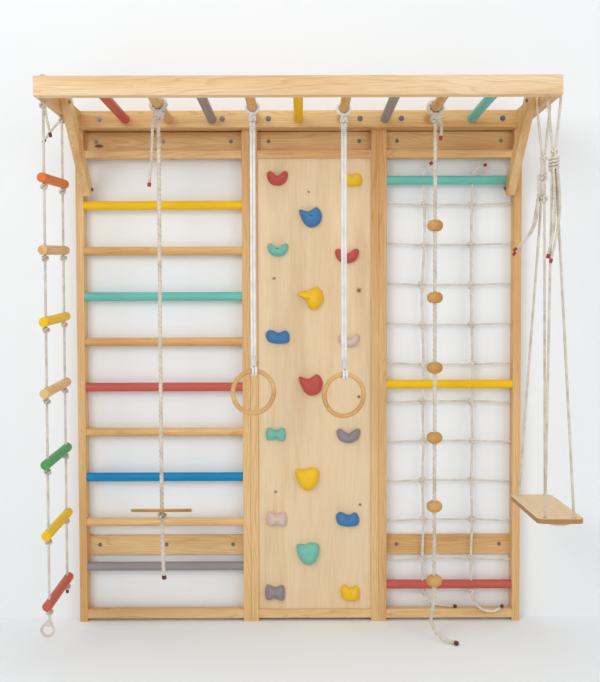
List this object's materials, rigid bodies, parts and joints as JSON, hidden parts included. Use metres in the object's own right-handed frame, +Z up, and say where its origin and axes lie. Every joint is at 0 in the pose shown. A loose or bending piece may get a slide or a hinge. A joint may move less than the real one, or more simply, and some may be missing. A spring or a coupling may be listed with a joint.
{
  "type": "rock climbing wall",
  "caption": "Wall-mounted indoor climbing unit: wall bars, climbing board with holds, rope net, monkey-bar canopy, rings, rope ladder and swings.",
  "frame": {"origin": "on the floor, mid-width, in the plane of the wall that the unit is screwed to", "axes": "+Z up, +Y into the wall, +X to the right as seen by a person who faces the wall"},
  "size_m": [2.1314, 0.78, 2.325],
  "materials": {
    "bead_wood": "oiled",
    "blue_paint": "satin paint on wood",
    "blue_plastic": "moulded, fine texture",
    "braided_rope": "braided polyester",
    "green_paint": "satin paint on wood",
    "grey_paint": "satin paint on wood",
    "grey_plastic": "moulded, fine texture",
    "orange_paint": "satin paint on wood",
    "pine": "planed and clear-varnished",
    "pink_plastic": "moulded, fine texture",
    "plywood": "fine birch face, satin varnish",
    "red_paint": "satin paint on wood",
    "red_plastic": "moulded, fine texture",
    "steel": "zinc plated",
    "teal_paint": "satin paint on wood",
    "teal_plastic": "moulded, fine texture",
    "turned_wood": "turned and varnished",
    "twisted_rope": "twisted cotton",
    "yellow_paint": "satin paint on wood",
    "yellow_plastic": "moulded, fine texture"
  },
  "bodies": {
    "frame": {"back_beam": "pine", "beam_loops": "twisted_rope", "blue_holds": "blue_plastic", "blue_wall_rung": "blue_paint", "canopy_bolts": "steel", "canopy_braces": "pine", "centre_panel_posts": "pine", "climbing_board": "plywood", "front_beam": "pine", "grey_holds": "grey_plastic", "grey_monkey_bars": "grey_paint", "grey_wall_rung": "grey_paint", "hold_bolts": "steel", "left_panel_posts": "pine", "natural_monkey_bars": "pine", "natural_wall_rungs": "pine", "net_cross_ropes": "twisted_rope", "net_knots": "twisted_rope", "net_upright_ropes": "twisted_rope", "panel_bolts": "steel", "panel_rails": "pine", "pink_holds": "pink_plastic", "red_holds": "red_plastic", "red_monkey_bar": "red_paint", "red_net_bar": "red_paint", "red_wall_rung": "red_paint", "right_panel_posts": "pine", "side_beams": "pine", "teal_holds": "teal_plastic", "teal_monkey_bar": "teal_paint", "teal_net_bar": "teal_paint", "teal_wall_rung": "teal_paint", "tee_nuts": "steel", "wall_boards": "pine", "wall_screws": "steel", "yellow_holds": "yellow_plastic", "yellow_monkey_bar": "yellow_paint", "yellow_net_bar": "yellow_paint", "yellow_wall_rung": "yellow_paint"},
    "rope_ladder": {"ladder_ropes": "twisted_rope", "red_ladder_rung": "red_paint", "yellow_ladder_rungs": "yellow_paint", "green_ladder_rung": "green_paint", "natural_ladder_rungs": "pine", "orange_ladder_rung": "orange_paint"},
    "disc_hitch": {"disc_hitch": "twisted_rope"},
    "disc_swing": {"disc_rope": "twisted_rope", "disc_seat": "plywood"},
    "left_ring_loop": {"left_ring_loop": "braided_rope"},
    "left_ring_strap": {"left_ring_strap": "braided_rope"},
    "left_ring": {"left_ring": "turned_wood"},
    "right_ring_loop": {"right_ring_loop": "braided_rope"},
    "right_ring_strap": {"right_ring_strap": "braided_rope"},
    "right_ring": {"right_ring": "turned_wood"},
    "bead_hitch": {"bead_hitch": "twisted_rope"},
    "bead_rope": {"bead_rope": "twisted_rope", "beads": "bead_wood"},
    "board_swing": {"swing_ropes": "twisted_rope", "swing_seat": "plywood", "swing_tails": "twisted_rope"}
  },
  "joints": [
    {"name": "ladder_sway", "type": "hinge", "parent": "frame", "child": "rope_ladder", "pos_m": [-0.9825, -0.46, 2.207], "axis": [0, 1, 0], "range_deg": [-8, 35]},
    {"name": "disc_hitch_turn", "type": "hinge", "parent": "frame", "child": "disc_hitch", "pos_m": [-0.576, -0.36, 2.2625], "axis": [0, 1, 0], "range_deg": [-12, 8]},
    {"name": "disc_swing", "type": "hinge", "parent": "disc_hitch", "child": "disc_swing", "pos_m": [-0.576, -0.36, 2.1875], "axis": [1, 0, 0], "range_deg": [-50, 5]},
    {"name": "left_loop_turn", "type": "hinge", "parent": "frame", "child": "left_ring_loop", "pos_m": [-0.192, -0.31, 2.2625], "axis": [0, 1, 0], "range_deg": [-8, 12]},
    {"name": "left_strap_swing", "type": "hinge", "parent": "left_ring_loop", "child": "left_ring_strap", "pos_m": [-0.192, -0.31, 2.1875], "axis": [1, 0, 0], "range_deg": [-50, 7]},
    {"name": "left_ring_tilt", "type": "hinge", "parent": "left_ring_strap", "child": "left_ring", "pos_m": [-0.192, -0.31, 1.159], "axis": [-0.9511, -0.309, 0], "range_deg": [-45, 60]},
    {"name": "right_loop_turn", "type": "hinge", "parent": "frame", "child": "right_ring_loop", "pos_m": [0.192, -0.28, 2.2625], "axis": [0, 1, 0], "range_deg": [-11, 8]},
    {"name": "right_strap_swing", "type": "hinge", "parent": "right_ring_loop", "child": "right_ring_strap", "pos_m": [0.192, -0.28, 2.1875], "axis": [1, 0, 0], "range_deg": [-50, 6]},
    {"name": "right_ring_tilt", "type": "hinge", "parent": "right_ring_strap", "child": "right_ring", "pos_m": [0.192, -0.28, 1.142], "axis": [-0.9511, -0.309, 0], "range_deg": [-45, 60]},
    {"name": "bead_hitch_turn", "type": "hinge", "parent": "frame", "child": "bead_hitch", "pos_m": [0.576, -0.29, 2.2625], "axis": [0, 1, 0], "range_deg": [-8, 11]},
    {"name": "bead_rope_swing", "type": "hinge", "parent": "bead_hitch", "child": "bead_rope", "pos_m": [0.576, -0.29, 2.1875], "axis": [1, 0, 0], "range_deg": [-45, 5]},
    {"name": "board_swing", "type": "hinge", "parent": "frame", "child": "board_swing", "pos_m": [0.9825, -0.5325, 2.022], "axis": [0, 1, 0], "range_deg": [-35, 10]}
  ]
}
